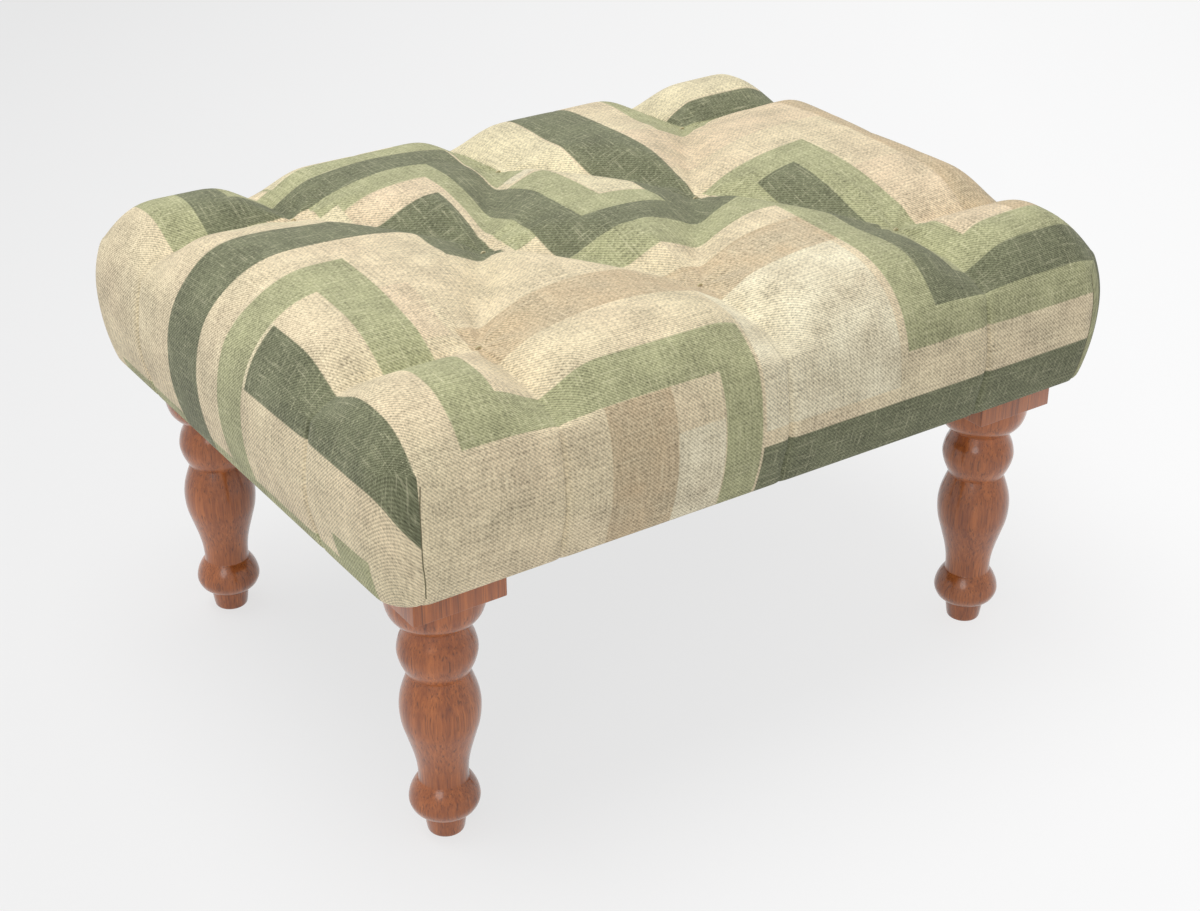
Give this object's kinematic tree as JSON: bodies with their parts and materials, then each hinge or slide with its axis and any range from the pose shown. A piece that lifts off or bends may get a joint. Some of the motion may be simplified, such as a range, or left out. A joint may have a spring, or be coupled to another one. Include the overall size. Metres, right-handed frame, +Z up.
{
  "type": "upholstered footstool",
  "caption": "Low rectangular footstool with a diamond-tufted cloth cushion on turned wooden legs with square blocks.",
  "frame": {"origin": "on the floor, midway between the four feet, under the middle of the cushion", "axes": "+X along the long side, +Y from the front to the back, +Z up; azimuth 0 looks along +Y at the front"},
  "size_m": [0.623, 0.4866, 0.3623],
  "materials": {
    "leg_wood": "stained and lacquered, satin",
    "frame_wood": "planed softwood",
    "dowel_wood": "fluted beech",
    "plywood": "sanded",
    "plated_steel": "zinc plated",
    "staple_steel": "galvanised",
    "foam": "open cell",
    "wadding": "fibre",
    "cover_cloth": "printed linen-look weave, matt",
    "twine": "waxed",
    "washer_plastic": "moulded",
    "thread": "matt",
    "dust_cloth": "non-woven, matt"
  },
  "bodies": {
    "root": {"back_rail": "frame_wood", "corner_block_back_left": "frame_wood", "corner_block_back_right": "frame_wood", "corner_block_front_left": "frame_wood", "corner_block_front_right": "frame_wood", "corner_block_screws": "plated_steel", "corner_seam_threads": "thread", "cover": "cover_cloth", "cover_staples": "staple_steel", "deck_board": "plywood", "deck_screws": "plated_steel", "dust_cover": "dust_cloth", "dust_cover_staples": "staple_steel", "foam_core": "foam", "front_rail": "frame_wood", "hanger_bolts": "plated_steel", "left_cross_rail": "frame_wood", "left_rail": "frame_wood", "leg_back_left": "leg_wood", "leg_back_right": "leg_wood", "leg_front_left": "leg_wood", "leg_front_right": "leg_wood", "rail_dowels": "dowel_wood", "right_cross_rail": "frame_wood", "right_rail": "frame_wood", "tee_nuts": "plated_steel", "tuft_twines": "twine", "tuft_washers": "washer_plastic", "wadding_layer": "wadding"}
  },
  "joints": []
}
